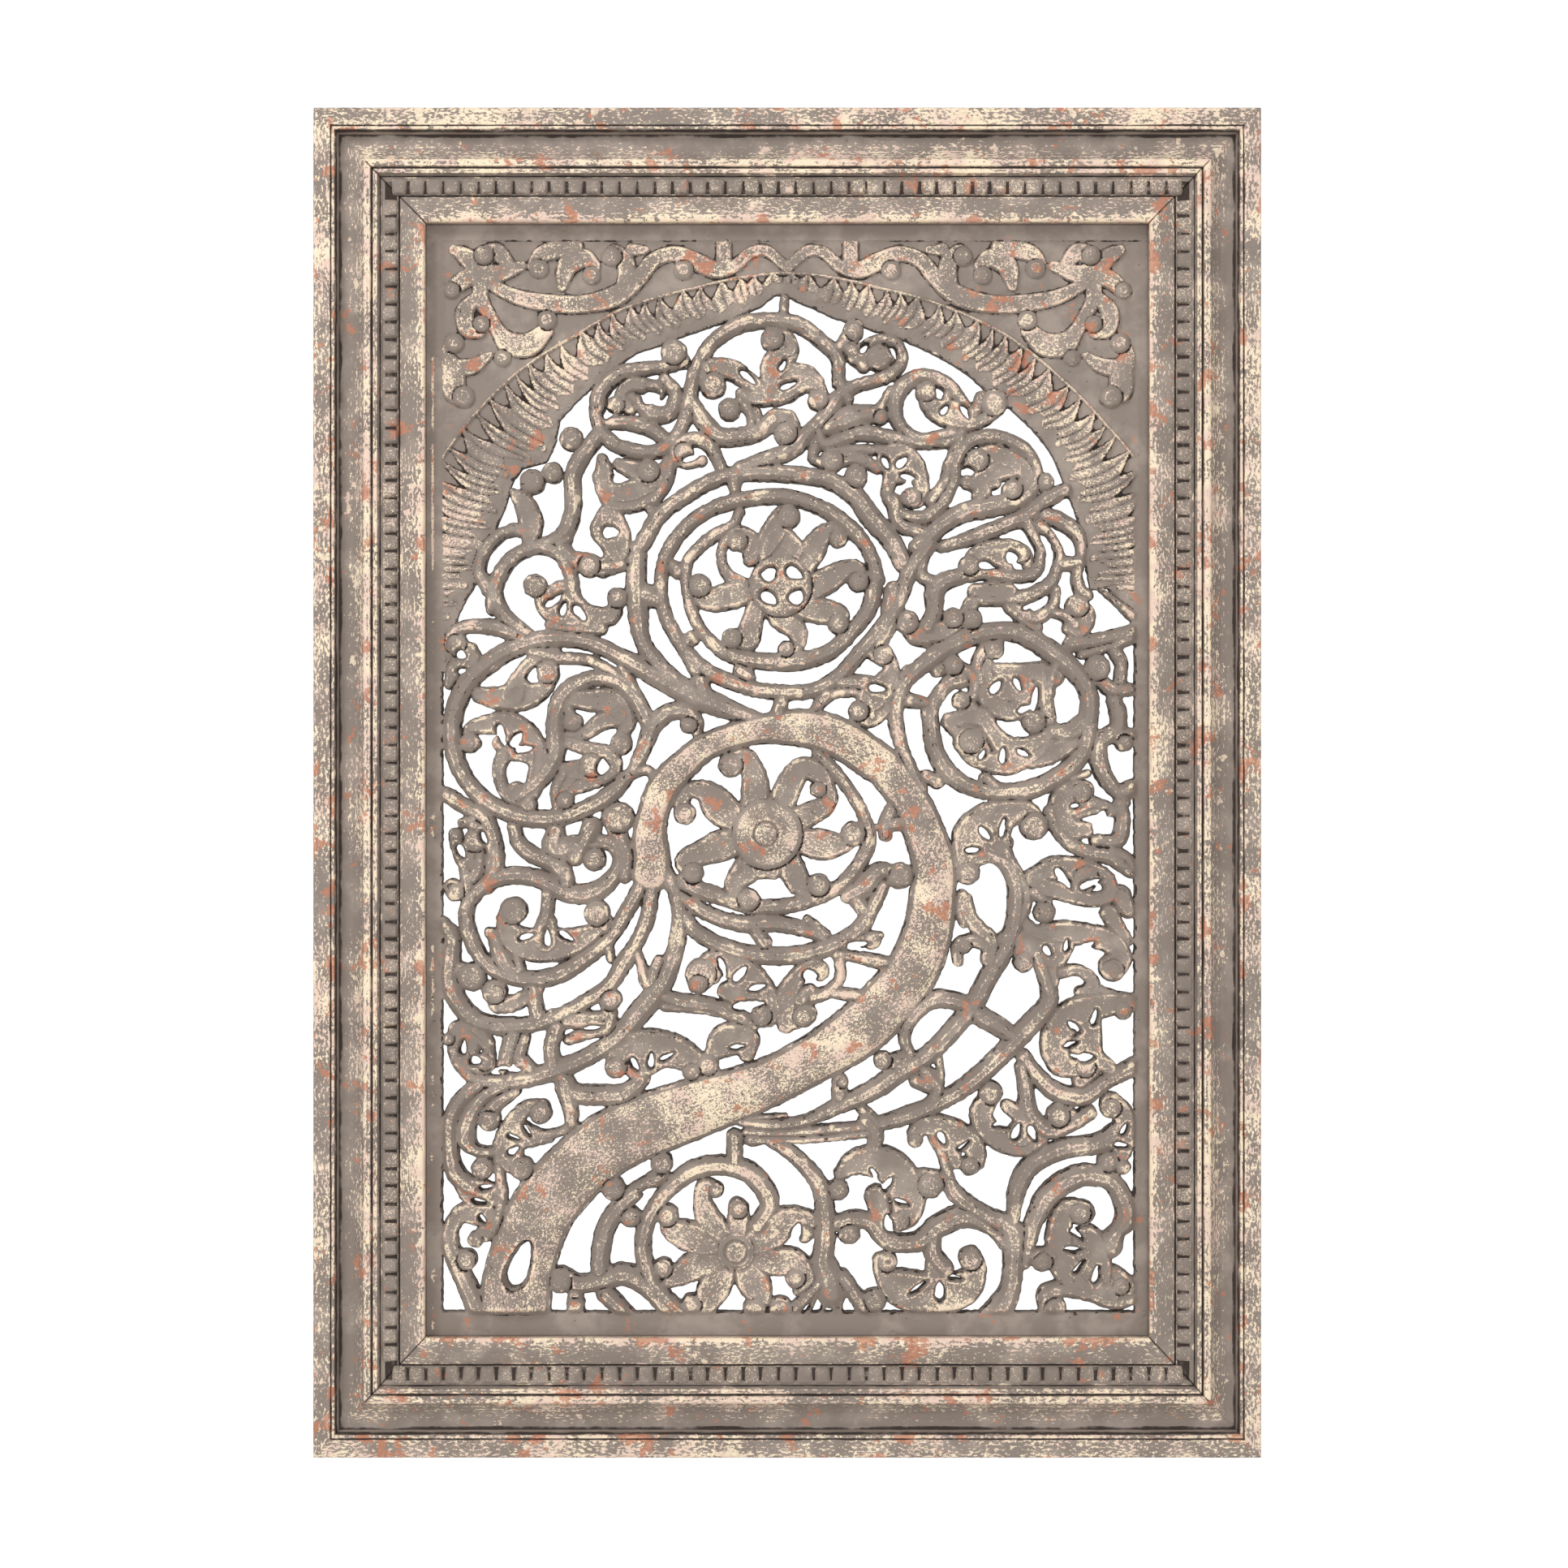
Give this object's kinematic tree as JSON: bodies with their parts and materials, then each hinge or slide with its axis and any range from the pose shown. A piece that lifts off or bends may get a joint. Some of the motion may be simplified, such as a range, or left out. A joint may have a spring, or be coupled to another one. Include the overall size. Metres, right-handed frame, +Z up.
{
  "type": "wall panel",
  "caption": "Pierced and carved wall panel: scrolling vine work with rosettes under an arch, in a mitred, beaded moulding frame, made to hang flat on a wall",
  "frame": {"origin": "the middle of the flat back of the top rail, where the panel is fixed to a wall", "axes": "+Z up along the panel's height, +Y out of the back into the wall, +X to the right seen from the front, so the carved front faces -Y"},
  "size_m": [0.702, 0.03, 1],
  "materials": {
    "painted_carving": "taupe paint over cream and terracotta, worn through on the ridges, dark in the crevices",
    "painted_moulding": "taupe paint worn to cream in streaks along the moulding, dark in the quirks"
  },
  "bodies": {
    "root": {"carved_panel": "painted_carving", "top_rail": "painted_moulding", "bottom_rail": "painted_moulding", "left_rail": "painted_moulding", "right_rail": "painted_moulding"}
  },
  "joints": []
}
